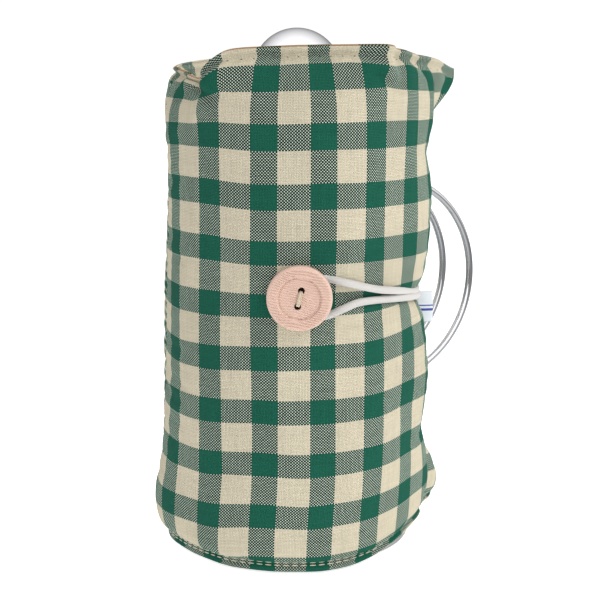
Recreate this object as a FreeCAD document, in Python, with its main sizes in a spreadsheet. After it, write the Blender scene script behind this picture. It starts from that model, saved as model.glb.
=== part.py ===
"""Insulated coffee press with a quilted cosy, as a parametric FreeCAD document.

Frame: +Z up, the origin is the centre of the foot on its rest plane, the handle
points along +X. Every length is in millimetres and every angle in degrees.
"""
import FreeCAD, Part
import Sketcher
import math
import os

Vector = FreeCAD.Vector

# ---------------------------------------------------------------- dimensions

DIMENSIONS = [
    # flask
    ("foot_radius", 42.0),
    ("foot_height", 2.0),
    ("foot_chamfer", 1.0),
    ("flask_radius", 47.5),
    ("flask_height", 172.0),
    ("sheet_wall", 0.6),
    ("vacuum_gap", 3.8),
    ("floor_height", 8.0),
    ("floor_corner", 5.0),
    ("base_cap_flange", 4.0),
    ("getter_radius", 6.0),
    ("getter_height", 1.5),
    ("getter_offset", 20.0),
    # handle
    ("handle_centre_x", 38.8),
    ("handle_centre_z", 107.0),
    ("handle_bend", 43.5),
    ("handle_sweep", 152.0),
    ("handle_rod_radius", 1.5),
    ("handle_rod_spacing", 20.0),
    ("plate_width", 26.0),
    ("plate_height", 15.0),
    ("plate_corner", 4.0),
    ("plate_proud", 2.6),
    # lid
    ("lid_radius", 47.2),
    ("lid_clearance", 0.1),
    ("lid_wall", 0.8),
    ("lid_edge_height", 3.0),
    ("lid_top", 181.5),
    ("lid_land_radius", 10.0),
    ("lid_crown_radius", 170.0),
    ("skirt_radius", 41.0),
    ("skirt_bottom", 150.0),
    ("bead_radius", 41.8),
    ("bead_height", 0.6),
    ("slot_width", 6.0),
    ("slot_low", 152.0),
    ("slot_high", 159.0),
    ("slot_count", 12.0),
    ("gasket_low", 163.0),
    ("gasket_height", 4.0),
    ("gasket_radius", 42.42),
    ("gasket_lip", 0.6),
    ("running_gap", 0.05),
    ("bush_radius", 6.0),
    ("bush_flange_radius", 9.0),
    ("bush_length", 6.5),
    ("bush_flange_height", 1.5),
    # plunger
    ("rod_radius", 2.5),
    ("rod_low", 10.2),
    ("rod_high", 195.0),
    ("rod_chamfer", 0.5),
    ("nut_low", 10.5),
    ("nut_height", 4.4),
    ("nut_flat_radius", 4.5),
    ("stack_low", 15.0),
    ("disc_wall", 0.8),
    ("mesh_wall", 0.4),
    ("stack_gap", 0.1),
    ("spiral_radius", 39.0),
    ("strainer_hole_radius", 1.2),
    ("strainer_first_ring", 12.0),
    ("strainer_ring_step", 10.0),
    ("mesh_radius", 42.3),
    ("mesh_rim", 3.1),
    ("cross_radius", 39.3),
    ("cross_rim", 3.0),
    ("hub_radius", 6.0),
    ("hub_height", 8.2),
    ("window_ring_radius", 21.5),
    ("window_radius", 6.5),
    ("window_count", 6.0),
    ("spring_radius", 40.6),
    ("spring_wire_radius", 0.9),
    # knob
    ("collar_radius", 10.0),
    ("collar_height", 1.0),
    ("ball_radius", 18.3),
    ("knob_top", 213.0),
    ("insert_radius", 5.0),
    ("insert_height", 15.0),
    ("insert_roof", 1.5),
    # cosy
    ("cosy_low", 2.0),
    ("cosy_high", 207.0),
    ("lining_radius", 48.4),
    ("lining_wall", 0.8),
    ("wadding_wall", 3.6),
    ("layer_gap", 0.1),
    ("cover_wall", 1.0),
    ("wadding_inset", 2.0),
    ("spine_half_angle", 30.0),
    ("flap_edge_angle", 17.5),
    ("fold_gap_angle", 0.2),
    # button, elastic and label
    ("button_angle", -119.1),
    ("button_height", 113.0),
    ("button_radius", 12.5),
    ("button_thickness", 4.2),
    ("button_edge", 1.4),
    ("button_standoff", 3.0),
    ("dish_radius", 8.0),
    ("dish_depth", 1.0),
    ("hole_radius", 1.2),
    ("hole_spacing", 6.1),
    ("hole_tilt", 13.4),
    ("thread_radius", 1.0),
    ("thread_gap", 0.1),
    ("shank_radius", 2.0),
    ("elastic_radius", 1.4),
    ("elastic_spread", 8.4),
    ("elastic_pair", 1.5),
    ("elastic_drop", 7.0),
    ("elastic_anchor_angle", 19.0),
    ("elastic_merge_angle", -35.0),
    ("elastic_wrap", 6.0),
    ("label_width", 5.5),
    ("label_height", 13.2),
    ("label_thickness", 0.8),
    ("label_low", 89.2),
    ("label_angle", -18.3),
]


class Size:
    """A number together with the spreadsheet expression that it comes from."""

    def __init__(self, value, expression):
        self.value = value
        self.expression = expression

    def joined(self, sign, other, value):
        if isinstance(other, Size):
            return Size(value, "(%s %s %s)" % (self.expression, sign, other.expression))
        return Size(value, "(%s %s %s)" % (self.expression, sign, repr(float(other))))

    def __add__(self, other):
        return self.joined("+", other, self.value + number(other))

    def __sub__(self, other):
        return self.joined("-", other, self.value - number(other))

    def __mul__(self, other):
        return self.joined("*", other, self.value * number(other))

    def __truediv__(self, other):
        return self.joined("/", other, self.value / number(other))

    def __neg__(self):
        return Size(-self.value, "(0 - %s)" % self.expression)


def number(size):
    """The plain number of a Size, or the number itself."""
    return size.value if isinstance(size, Size) else float(size)


def make_sheet(doc):
    """Write the driving dimensions to a spreadsheet and return them by name."""
    sheet = doc.addObject("Spreadsheet::Sheet", "dims")
    sizes = {}
    for row, (alias, value) in enumerate(DIMENSIONS, start=1):
        sheet.set("A%d" % row, alias)
        sheet.set("B%d" % row, repr(value))
        sheet.setAlias("B%d" % row, alias)
        sizes[alias] = Size(value, "dims.%s" % alias)
    doc.recompute()
    return sizes


doc = FreeCAD.newDocument("coffee_press")
size = make_sheet(doc)
SUBPARTS = []

# ------------------------------------------------------------ modelling tools


def bind(feature, name, value):
    """Set a property to a Size, and keep it bound to the spreadsheet."""
    if isinstance(value, Size):
        setattr(feature, name, value.value)
        feature.setExpression(name, value.expression)
    else:
        setattr(feature, name, value)


def keep(feature, label):
    """Name a finished sub-part, so that it is written under that name."""
    feature.Label = label
    SUBPARTS.append(feature)
    return feature


def place(feature, position=None, axis=None, angle=None):
    """Put a finished feature at a position, turned about an axis, bound to the sheet."""
    if angle is not None:
        feature.Placement = FreeCAD.Placement(Vector(), FreeCAD.Rotation(axis, number(angle)))
        if isinstance(angle, Size):
            feature.setExpression("Placement.Rotation.Angle", angle.expression)
    if position is not None:
        for letter, value in zip("xyz", position):
            if isinstance(value, Size):
                feature.setExpression("Placement.Base.%s" % letter, value.expression)


def origin_feature(body, role):
    """One of a body's own origin planes or axes, such as XY_Plane or Z_Axis."""
    return [item for item in body.Origin.OriginFeatures if item.Role == role][0]


def new_sketch(body, role, name, offset=None):
    """A sketch on one of the body's origin planes, raised by an offset along its normal."""
    sketch = body.newObject("Sketcher::SketchObject", name)
    sketch.AttachmentSupport = [(origin_feature(body, role), "")]
    sketch.MapMode = "FlatFace"
    if offset is not None:
        sketch.AttachmentOffset = FreeCAD.Placement(
            Vector(0, 0, number(offset)), FreeCAD.Rotation())
        sketch.setExpression("AttachmentOffset.Base.z", offset.expression)
    return sketch


def pin_point(sketch, curve, end, point):
    """Hold one end of a curve at a point whose coordinates are sizes or zero."""
    kinds = (("DistanceX", -2, point[0]), ("DistanceY", -1, point[1]))
    for kind, zero_axis, value in kinds:
        if number(value) == 0.0:
            sketch.addConstraint(Sketcher.Constraint("PointOnObject", curve, end, zero_axis))
        else:
            row = sketch.addConstraint(
                Sketcher.Constraint(kind, -1, 1, curve, end, number(value)))
            if isinstance(value, Size):
                sketch.setExpression("Constraints[%d]" % row, value.expression)


def draw_outline(sketch, corners):
    """Draw a closed outline through its corners.

    A corner is (x, y), or (x, y, radius) where the side that leaves it is an arc:
    a positive radius bulges to the right of the direction of travel.
    """
    count = len(corners)
    for index, corner in enumerate(corners):
        following = corners[(index + 1) % count]
        start = Vector(number(corner[0]), number(corner[1]), 0)
        end = Vector(number(following[0]), number(following[1]), 0)
        if len(corner) == 2:
            sketch.addGeometry(Part.LineSegment(start, end), False)
            continue
        radius = abs(number(corner[2]))
        right = 1.0 if number(corner[2]) > 0 else -1.0
        chord = end - start
        normal = Vector(chord.y, -chord.x, 0).normalize() * right
        rise = radius - math.sqrt(radius ** 2 - (chord.Length / 2.0) ** 2)
        middle = (start + end) * 0.5 + normal * rise
        sketch.addGeometry(Part.Arc(start, middle, end), False)
    for index, corner in enumerate(corners):
        following = (index + 1) % count
        bulges_right = len(corner) == 3 and number(corner[2]) > 0
        bulges_left = len(corner) == 3 and not bulges_right
        # An arc runs anticlockwise, so one that bulges left is stored end first.
        own_end = 1 if bulges_left else 2
        next_is_left = len(corners[following]) == 3 and number(corners[following][2]) < 0
        next_start = 2 if next_is_left else 1
        sketch.addConstraint(
            Sketcher.Constraint("Coincident", index, own_end, following, next_start))
    for index, corner in enumerate(corners):
        is_left = len(corner) == 3 and number(corner[2]) < 0
        pin_point(sketch, index, 2 if is_left else 1, corner)
        if len(corner) == 3:
            radius = corner[2] if number(corner[2]) > 0 else -corner[2]
            row = sketch.addConstraint(
                Sketcher.Constraint("Radius", index, number(radius)))
            sketch.setExpression("Constraints[%d]" % row, radius.expression)


def turned(label, corners, angle=None):
    """A body turned about Z from an outline of (radius, height) corners."""
    body = doc.addObject("PartDesign::Body", label)
    sketch = new_sketch(body, "XZ_Plane", label + "_profile")
    draw_outline(sketch, corners)
    revolution = body.newObject("PartDesign::Revolution", label + "_turned")
    revolution.Profile = sketch
    revolution.ReferenceAxis = (sketch, ["V_Axis"])
    if angle is not None:
        bind(revolution, "Angle", angle)
    doc.recompute()
    return body


def cut_pattern(body, role, outline, count, offset=None, reversed_cut=False):
    """Pocket an outline right through a body and repeat it round Z."""
    before = body.Shape.Volume
    sketch = new_sketch(body, role, body.Label + "_cut", offset)
    if len(outline) == 1:
        draw_circle(sketch, *outline[0])
    else:
        draw_outline(sketch, outline)
    pocket = body.newObject("PartDesign::Pocket", body.Label + "_pocket")
    pocket.Profile = sketch
    pocket.Type = "ThroughAll"
    pocket.Reversed = reversed_cut
    doc.recompute()
    if not body.Shape.Volume < before:
        raise RuntimeError("the pocket in %s cuts nothing" % body.Label)
    if count > 1:
        pattern = body.newObject("PartDesign::PolarPattern", body.Label + "_pattern")
        pattern.Originals = [pocket]
        pattern.Axis = (origin_feature(body, "Z_Axis"), [""])
        pattern.Angle = 360.0
        pattern.Occurrences = int(count)
        body.Tip = pattern
        doc.recompute()
    return body


def draw_circle(sketch, centre_x, centre_y, radius):
    """Draw one circle whose centre and radius follow the sheet."""
    centre = Vector(number(centre_x), number(centre_y), 0)
    circle = Part.Circle(centre, Vector(0, 0, 1), number(radius))
    curve = sketch.addGeometry(circle, False)
    pin_point(sketch, curve, 3, (centre_x, centre_y))
    row = sketch.addConstraint(Sketcher.Constraint("Radius", curve, number(radius)))
    sketch.setExpression("Constraints[%d]" % row, radius.expression)



# --------------------------------------------------------------------- flask


def make_foot_pad():
    """Soft disc that the press stands on."""
    radius = size["foot_radius"]
    height = size["foot_height"]
    chamfer = size["foot_chamfer"]
    keep(turned("foot_pad", [
        (0, 0), (radius - chamfer, 0), (radius, chamfer), (radius, height), (0, height)]), "foot_pad")


def make_base_cap():
    """Dished plate that closes the bottom of the vacuum space."""
    outer = size["flask_radius"] - size["sheet_wall"]
    low = size["foot_height"]
    wall = size["sheet_wall"]
    high = low + size["base_cap_flange"]
    keep(turned("base_cap", [
        (0, low), (outer, low), (outer, high), (outer - wall, high),
        (outer - wall, low + wall), (0, low + wall)]), "base_cap")


def make_outer_shell():
    """Outer wall, a plain drawn tube."""
    outer = size["flask_radius"]
    inner = outer - size["sheet_wall"]
    low = size["foot_height"]
    high = size["flask_height"] - size["sheet_wall"]
    keep(turned("outer_shell", [(inner, low), (outer, low), (outer, high), (inner, high)]), "outer_shell")


def make_inner_flask():
    """Inner wall, a deep cup whose flange closes the vacuum space at the rim."""
    wall = size["sheet_wall"]
    outer = size["flask_radius"] - wall - size["vacuum_gap"]
    inner = outer - wall
    corner = size["floor_corner"]
    low = size["floor_height"]
    high = size["flask_height"]
    flange = size["flask_radius"]
    keep(turned("inner_flask", [
        (0, low), (outer - corner, low, corner), (outer, low + corner), (outer, high - wall),
        (flange, high - wall), (flange, high), (inner, high),
        (inner, low + corner, -(corner - wall)), (outer - corner, low + wall), (0, low + wall)]),
        "inner_flask")


def make_getter_pellet():
    """Gas-absorbing pellet that sits in the vacuum space."""
    pellet = doc.addObject("Part::Cylinder", "getter_pellet")
    bind(pellet, "Radius", size["getter_radius"])
    bind(pellet, "Height", size["getter_height"])
    place(pellet, position=(size["getter_offset"], 0, size["foot_height"] + size["sheet_wall"]))
    keep(pellet, "getter_pellet")


def make_handle_rod(name, side):
    """One bent rod of the handle, an arc in a plane parallel to XZ."""
    rod = doc.addObject("Part::Torus", name)
    bind(rod, "Radius1", size["handle_bend"])
    bind(rod, "Radius2", size["handle_rod_radius"])
    bind(rod, "Angle3", size["handle_sweep"])
    # The torus is drawn round Z. It is turned to lie round Y, then swung to face +X.
    upright = FreeCAD.Rotation(Vector(1, 0, 0), 90)
    swing = FreeCAD.Rotation(Vector(0, 1, 0), number(size["handle_sweep"]) / 2.0)
    rod.Placement = FreeCAD.Placement(Vector(), swing.multiply(upright))
    place(rod, position=(
        size["handle_centre_x"], size["handle_rod_spacing"] * (side / 2.0), size["handle_centre_z"]))
    return keep(rod, name)


def make_handle_plate(name, above, rods):
    """Bracket welded to the outer shell, with a socket for each rod end."""
    half_sweep = math.radians(number(size["handle_sweep"]) / 2.0)
    rise = size["handle_bend"] * math.sin(half_sweep)
    middle = size["handle_centre_z"] + rise * above
    half_width = size["plate_width"] / 2.0
    corner = size["plate_corner"]
    low = middle - size["plate_height"] / 2.0
    high = middle + size["plate_height"] / 2.0
    body = doc.addObject("PartDesign::Body", name + "_blank")
    sketch = new_sketch(body, "YZ_Plane", name + "_outline")
    draw_outline(sketch, [
        (corner - half_width, low), (half_width - corner, low, corner),
        (half_width, low + corner), (half_width, high - corner, corner),
        (half_width - corner, high), (corner - half_width, high, corner),
        (-half_width, high - corner), (-half_width, low + corner, corner)])
    pad = body.newObject("PartDesign::Pad", name + "_pad")
    pad.Profile = sketch
    bind(pad, "Length", size["flask_radius"] + size["plate_proud"])
    doc.recompute()
    bore = doc.addObject("Part::Cylinder", name + "_bore")
    bind(bore, "Radius", size["flask_radius"])
    bind(bore, "Height", size["flask_height"])
    blank = doc.addObject("Part::Cut", name + "_curved")
    blank.Base = body
    blank.Tool = bore
    for index, rod in enumerate(rods):
        seat = doc.addObject("Part::Cut", "%s_seat_%d" % (name, index))
        seat.Base = blank
        seat.Tool = rod
        blank = seat
    doc.recompute()
    keep(blank, name)


# ----------------------------------------------------------------------- lid


def make_lid_skirt():
    """Ring that centres the lid in the rim, with a strainer slot row and a gasket seat."""
    outer = size["skirt_radius"]
    inner = outer - size["lid_wall"]
    bead = size["bead_radius"]
    rise = size["bead_height"]
    gap = size["stack_gap"]
    low = size["skirt_bottom"]
    rim = size["flask_height"] + size["lid_clearance"]
    seat_low = size["gasket_low"] - gap
    seat_high = size["gasket_low"] + size["gasket_height"] + gap
    flange = size["lid_radius"] - size["lid_wall"]
    body = turned("lid_skirt", [
        (inner, low), (outer, low), (outer, seat_low - rise), (bead, seat_low - rise),
        (bead, seat_low), (outer, seat_low), (outer, seat_high), (bead, seat_high),
        (bead, seat_high + rise), (outer, seat_high + rise), (outer, rim), (flange, rim),
        (flange, rim + size["lid_wall"]), (inner, rim + size["lid_wall"])])
    half = size["slot_width"] / 2.0
    cut_pattern(body, "YZ_Plane", [
        (-half, size["slot_low"]), (half, size["slot_low"]),
        (half, size["slot_high"]), (-half, size["slot_high"])],
        number(size["slot_count"]), reversed_cut=True)
    keep(body, "lid_skirt")


def make_lid_gasket():
    """Sealing ring between the lid's skirt and the inner wall."""
    inner = size["skirt_radius"] + size["running_gap"]
    outer = size["gasket_radius"]
    lip = size["gasket_lip"]
    low = size["gasket_low"]
    high = low + size["gasket_height"]
    keep(turned("lid_gasket", [
        (inner, low), (outer - lip, low), (outer, low + lip), (outer, high - lip),
        (outer - lip, high), (inner, high)]), "lid_gasket")


def make_lid_dome():
    """Crowned steel cover of the lid."""
    wall = size["lid_wall"]
    radius = size["lid_radius"]
    low = size["flask_height"] + size["lid_clearance"]
    edge = low + size["lid_edge_height"]
    top = size["lid_top"]
    land = size["lid_land_radius"]
    crown = size["lid_crown_radius"]
    keep(turned("lid_dome", [
        (radius - wall, low), (radius, low), (radius, edge, crown), (land, top),
        (size["bush_radius"], top), (size["bush_radius"], top - wall),
        (land, top - wall, -(crown - wall)), (radius - wall, edge - wall)]), "lid_dome")


def make_rod_bush():
    """Guide bush for the plunger rod, held in the dome from below."""
    bore = size["rod_radius"] + size["running_gap"]
    top = size["lid_top"]
    under = top - size["lid_wall"]
    shoulder = under - size["bush_flange_height"]
    keep(turned("rod_bush", [
        (bore, top - size["bush_length"]), (size["bush_radius"], top - size["bush_length"]),
        (size["bush_radius"], shoulder), (size["bush_flange_radius"], shoulder),
        (size["bush_flange_radius"], under), (size["bush_radius"], under),
        (size["bush_radius"], top), (bore, top)]), "rod_bush")


# ------------------------------------------------------------------- plunger


def make_plunger_rod():
    """Straight rod with chamfered ends."""
    radius = size["rod_radius"]
    chamfer = size["rod_chamfer"]
    low = size["rod_low"]
    high = size["rod_high"]
    keep(turned("plunger_rod", [
        (0, low), (radius - chamfer, low), (radius, low + chamfer), (radius, high - chamfer),
        (radius - chamfer, high), (0, high)]), "plunger_rod")


def stack_level(layer):
    """Lowest height of a filter layer: 0 spiral plate, 1 mesh, 2 cross plate."""
    spiral = size["stack_low"]
    mesh = spiral + size["disc_wall"] + size["stack_gap"]
    cross = mesh + size["mesh_wall"] + size["stack_gap"]
    return (spiral, mesh, cross)[layer]


def make_spiral_plate():
    """Lower perforated plate that presses the mesh against the cross plate."""
    low = stack_level(0)
    high = low + size["disc_wall"]
    body = turned("spiral_plate", [
        (size["rod_radius"], low), (size["spiral_radius"], low),
        (size["spiral_radius"], high), (size["rod_radius"], high)])
    for ring, count in enumerate((12, 18, 24)):
        reach = size["strainer_first_ring"] + size["strainer_ring_step"] * float(ring)
        cut_pattern(body, "XY_Plane", [(reach, 0, size["strainer_hole_radius"])], count,
                    reversed_cut=True)
    keep(body, "spiral_plate")


def make_mesh_filter():
    """Fine mesh disc with a turned-up rim that wipes the inner wall."""
    low = stack_level(1)
    wall = size["mesh_wall"]
    radius = size["mesh_radius"]
    high = low + size["mesh_rim"]
    keep(turned("mesh_filter", [
        (size["rod_radius"], low), (radius, low), (radius, high), (radius - wall, high),
        (radius - wall, low + wall), (size["rod_radius"], low + wall)]), "mesh_filter")


def make_cross_plate():
    """Upper plate with windows, a turned-up rim and a hub on the rod."""
    low = stack_level(2)
    wall = size["disc_wall"]
    radius = size["cross_radius"]
    rod = size["rod_radius"]
    body = turned("cross_plate", [
        (rod, low), (radius, low), (radius, low + size["cross_rim"]),
        (radius - wall, low + size["cross_rim"]), (radius - wall, low + wall),
        (size["hub_radius"], low + wall), (size["hub_radius"], low + wall + size["hub_height"]),
        (rod, low + wall + size["hub_height"])])
    cut_pattern(body, "XY_Plane", [(size["window_ring_radius"], 0, size["window_radius"])],
                number(size["window_count"]), reversed_cut=True)
    keep(body, "cross_plate")


def make_edge_spring():
    """Ring spring that holds the mesh rim against the wall."""
    spring = doc.addObject("Part::Torus", "edge_spring")
    bind(spring, "Radius1", size["spring_radius"])
    bind(spring, "Radius2", size["spring_wire_radius"])
    level = stack_level(1) + size["mesh_wall"] + size["stack_gap"] + size["spring_wire_radius"]
    place(spring, position=(0, 0, level))
    keep(spring, "edge_spring")


def make_filter_nut():
    """Hexagonal nut that holds the filter stack on the rod."""
    body = doc.addObject("PartDesign::Body", "filter_nut")
    sketch = new_sketch(body, "XY_Plane", "filter_nut_outline", size["nut_low"])
    flat = size["nut_flat_radius"]
    half_side = flat * math.tan(math.radians(30))
    corner = half_side * 2.0
    draw_outline(sketch, [
        (-half_side, -flat), (half_side, -flat), (corner, 0), (half_side, flat),
        (-half_side, flat), (-corner, 0)])
    pad = body.newObject("PartDesign::Pad", "filter_nut_pad")
    pad.Profile = sketch
    bind(pad, "Length", size["nut_height"])
    doc.recompute()
    bore = size["rod_radius"] + size["running_gap"]
    cut_pattern(body, "XY_Plane", [(0, 0, bore)], 1, reversed_cut=True)
    keep(body, "filter_nut")


# ---------------------------------------------------------------------- knob


def knob_base():
    """Height of the knob's flat underside."""
    return size["lid_top"] + size["stack_gap"] + size["collar_height"]


def make_knob_collar():
    """Washer between the knob and the lid."""
    bore = size["rod_radius"] + size["running_gap"]
    low = size["lid_top"] + size["stack_gap"]
    keep(turned("knob_collar", [
        (bore, low), (size["collar_radius"], low), (size["collar_radius"], knob_base()),
        (bore, knob_base())]), "knob_collar")


def make_knob_ball():
    """Polished ball with a flat underside and a bore for its insert."""
    radius = size["ball_radius"]
    centre = size["knob_top"] - radius
    drop = centre - knob_base()
    foot_value = math.sqrt(number(radius) ** 2 - number(drop) ** 2)
    foot = Size(foot_value, "sqrt(%s ^ 2 - %s ^ 2)" % (radius.expression, drop.expression))
    insert = size["insert_radius"]
    roof = knob_base() + size["insert_height"]
    keep(turned("knob_ball", [
        (insert, knob_base()), (foot, knob_base(), radius), (radius, centre, radius),
        (0, size["knob_top"]), (0, roof), (insert, roof)]), "knob_ball")


def make_knob_insert():
    """Threaded insert that takes the top of the rod."""
    bore = size["rod_radius"] + size["running_gap"]
    outer = size["insert_radius"]
    low = knob_base()
    high = low + size["insert_height"]
    roof = high - size["insert_roof"]
    keep(turned("knob_insert", [
        (bore, low), (outer, low), (outer, high), (0, high), (0, roof), (bore, roof)]), "knob_insert")


# ---------------------------------------------------------------------- cosy


def layer_radii(layer):
    """Inner and outer radius of a cosy layer: 0 lining, 1 wadding, 2 cover."""
    lining = size["lining_radius"]
    wadding = lining + size["lining_wall"] + size["layer_gap"]
    cover = wadding + size["wadding_wall"] + size["layer_gap"]
    inner = (lining, wadding, cover)[layer]
    wall = (size["lining_wall"], size["wadding_wall"], size["cover_wall"])[layer]
    return inner, inner + wall


def cosy_radius():
    """Outer radius of the cosy, where its folds are."""
    return layer_radii(2)[1]


def make_cosy_layer(name, layer, start, span):
    """One layer of one cosy section, swept round Z from a start angle."""
    inner, outer = layer_radii(layer)
    inset = size["wadding_inset"] * (1.0 if layer == 1 else 0.0)
    low = size["cosy_low"] + inset
    high = size["cosy_high"] - inset
    body = turned(name, [(inner, low), (outer, low), (outer, high), (inner, high)], span)
    place(body, axis=Vector(0, 0, 1), angle=start)
    keep(body, name)


def make_cosy():
    """Three quilted sections, each with a lining, a wadding and a cover.

    The spine is opposite the handle. The two flaps fold on its edges and end
    short of each other, which leaves a gap for the handle.
    """
    gap = size["fold_gap_angle"]
    edge = size["flap_edge_angle"]
    half = size["spine_half_angle"]
    straight = Size(180.0, "180")
    flap_span = straight - half - gap - edge
    sections = (
        ("spine", straight - half, half * 2.0),
        ("front", half + gap - 180.0, flap_span),
        ("back", edge, flap_span),
    )
    for section, start, span in sections:
        for layer, part in enumerate(("lining", "wadding", "cover")):
            make_cosy_layer("%s_%s" % (section, part), layer, start, span)


# ------------------------------------------------ button, elastic and label


def radial_placement(angle, radius, height):
    """A frame at a point of the cosy, its own Z pointing straight out and its Y up."""
    out = Vector(math.cos(math.radians(angle)), math.sin(math.radians(angle)), 0)
    up = Vector(0, 0, 1)
    turn = FreeCAD.Rotation(up.cross(out), up, out, "ZYX")
    return FreeCAD.Placement(out * radius + Vector(0, 0, height), turn)


def button_placement():
    """The button's frame, with its origin on the underside of the disc."""
    radius = number(cosy_radius() + size["button_standoff"])
    return radial_placement(number(size["button_angle"]), radius, number(size["button_height"]))


def hole_offset():
    """Where one of the two holes is, from the button's centre."""
    reach = size["hole_spacing"] / 2.0
    tilt = math.radians(number(size["hole_tilt"]))
    return reach * math.sin(tilt), reach * math.cos(tilt)


def make_button():
    """Turned disc with a dished face and two holes."""
    radius = size["button_radius"]
    edge = size["button_edge"]
    high = size["button_thickness"]
    floor = high - size["dish_depth"]
    dish = size["dish_radius"]
    body = turned("button", [
        (0, 0), (radius - edge, 0, edge), (radius, edge), (radius, high - edge, edge),
        (radius - edge, high), (dish, high), (dish - size["dish_depth"], floor), (0, floor)])
    across, upward = hole_offset()
    for sign in (1.0, -1.0):
        cut_pattern(body, "XY_Plane", [(across * sign, upward * sign, size["hole_radius"])], 1,
                    reversed_cut=True)
    body.Placement = button_placement()
    keep(body, "button")


def make_button_thread():
    """Sewing thread: two legs through the holes, a bar on the face and a shank below."""
    radius = number(size["thread_radius"])
    gap = number(size["thread_gap"])
    across, upward = hole_offset()
    hole = Vector(number(across), number(upward), 0)
    face = number(size["button_thickness"] - size["dish_depth"]) + radius + gap
    under = -radius - gap
    bottom = gap - number(size["button_standoff"])
    up = Vector(0, 0, 1)
    pieces = []
    for sign in (1.0, -1.0):
        foot = hole * sign + up * under
        pieces.append(Part.makeCylinder(radius, face - under, foot, up))
        for level in (under, face):
            pieces.append(Part.makeSphere(radius, hole * sign + up * level))
    for level in (under, face):
        start = up * level - hole
        pieces.append(Part.makeCylinder(radius, hole.Length * 2.0, start, hole))
    shank = number(size["shank_radius"])
    pieces.append(Part.makeCylinder(shank, under - bottom, up * bottom, up))
    thread = doc.addObject("Part::Feature", "button_thread")
    thread.Shape = pieces[0].multiFuse(pieces[1:]).removeSplitter()
    thread.Placement = button_placement()
    keep(thread, "button_thread")


def elastic_point(angle, offset, radius, height):
    """A point on the elastic's path, on the cosy at an angle and an offset in height."""
    return Vector(radius * math.cos(angle), radius * math.sin(angle), height + offset)


def make_elastic_loop():
    """Elastic cord from the far flap, round the front, and round the button's shank."""
    cord = number(size["elastic_radius"])
    radius = number(cosy_radius() + size["layer_gap"]) + cord
    height = number(size["button_height"])
    anchor = math.radians(number(size["elastic_anchor_angle"]))
    button = math.radians(number(size["button_angle"]))
    spread = number(size["elastic_spread"])
    pair = number(size["elastic_pair"])
    drop = number(size["elastic_drop"])
    opening = button + number(size["button_radius"]) / radius
    merge = math.radians(number(size["elastic_merge_angle"]))
    # Side by side and low from the anchor, then rising and spreading towards the button.
    upper = []
    lower = []
    steps = 6
    for step in range(steps):
        angle = anchor + (merge - anchor) * step / steps
        upper.append(elastic_point(angle, pair - drop, radius, height))
        lower.append(elastic_point(angle, -pair - drop, radius, height))
    for step in range(steps):
        part = step / steps
        angle = merge + (opening - merge) * part
        sink = drop * (1.0 - part)
        apart = pair + (spread - pair) * part ** 1.5
        upper.append(elastic_point(angle, apart - sink, radius, height))
        lower.append(elastic_point(angle, -apart - sink, radius, height))
    # A half oval round the shank, behind the button.
    wrap = number(size["elastic_wrap"]) / radius
    for turn in (90, 60, 30):
        swing = math.radians(turn)
        angle = button - wrap + (opening - button + wrap) * (1.0 - math.cos(swing))
        upper.append(elastic_point(angle, spread * math.sin(swing), radius, height))
        lower.append(elastic_point(angle, -spread * math.sin(swing), radius, height))
    tip = elastic_point(button - wrap, 0.0, radius, height)
    curve = Part.BSplineCurve()
    curve.interpolate(upper + [tip] + lower[::-1])
    path = Part.Wire([curve.toShape()])
    start = curve.value(curve.FirstParameter)
    ring = Part.Circle(start, curve.tangent(curve.FirstParameter)[0], cord)
    loop = doc.addObject("Part::Feature", "elastic_loop")
    loop.Shape = path.makePipeShell([Part.Wire([ring.toShape()])], True, True)
    keep(loop, "elastic_loop")


def make_care_label():
    """Folded tab sewn into the edge of the front flap."""
    tab = doc.addObject("Part::Box", "care_label")
    bind(tab, "Length", size["label_width"])
    bind(tab, "Width", size["label_thickness"])
    bind(tab, "Height", size["label_height"])
    angle = math.radians(number(size["label_angle"]))
    radius = cosy_radius() + size["layer_gap"]
    place(tab, axis=Vector(0, 0, 1), angle=size["label_angle"])
    place(tab, position=(radius * math.cos(angle), radius * math.sin(angle), size["label_low"]))
    keep(tab, "care_label")


# --------------------------------------------------------------------- build

make_foot_pad()
make_base_cap()
make_outer_shell()
make_inner_flask()
make_getter_pellet()
front_rod = make_handle_rod("handle_rod_front", -1)
back_rod = make_handle_rod("handle_rod_back", 1)
make_handle_plate("handle_plate_upper", 1, (front_rod, back_rod))
make_handle_plate("handle_plate_lower", -1, (front_rod, back_rod))
make_lid_gasket()
make_lid_skirt()
make_lid_dome()
make_rod_bush()
make_plunger_rod()
make_spiral_plate()
make_mesh_filter()
make_cross_plate()
make_edge_spring()
make_filter_nut()
make_knob_collar()
make_knob_ball()
make_knob_insert()
make_cosy()
make_button()
make_button_thread()
make_elastic_loop()
make_care_label()
doc.recompute()

for item in doc.Objects:
    for state in ("Invalid", "Error"):
        if state in item.State:
            raise RuntimeError("%s is in state %s" % (item.Label, state))
for subpart in SUBPARTS:
    if subpart.Shape.isNull() or not subpart.Shape.isValid():
        raise RuntimeError("%s has no valid shape" % subpart.Label)
    if len(subpart.Shape.Solids) != 1:
        raise RuntimeError("%s has %d solids" % (subpart.Label, len(subpart.Shape.Solids)))

os.makedirs("parts", exist_ok=True)
for subpart in SUBPARTS:
    subpart.Shape.exportStep("parts/%s.step" % subpart.Label)
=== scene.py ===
"""Insulated coffee press in its quilted gingham cosy: looks, lights and camera."""
import math

import bmesh
import bpy
import numpy as np
from mathutils import Matrix, Vector
from mathutils.bvhtree import BVHTree


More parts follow.
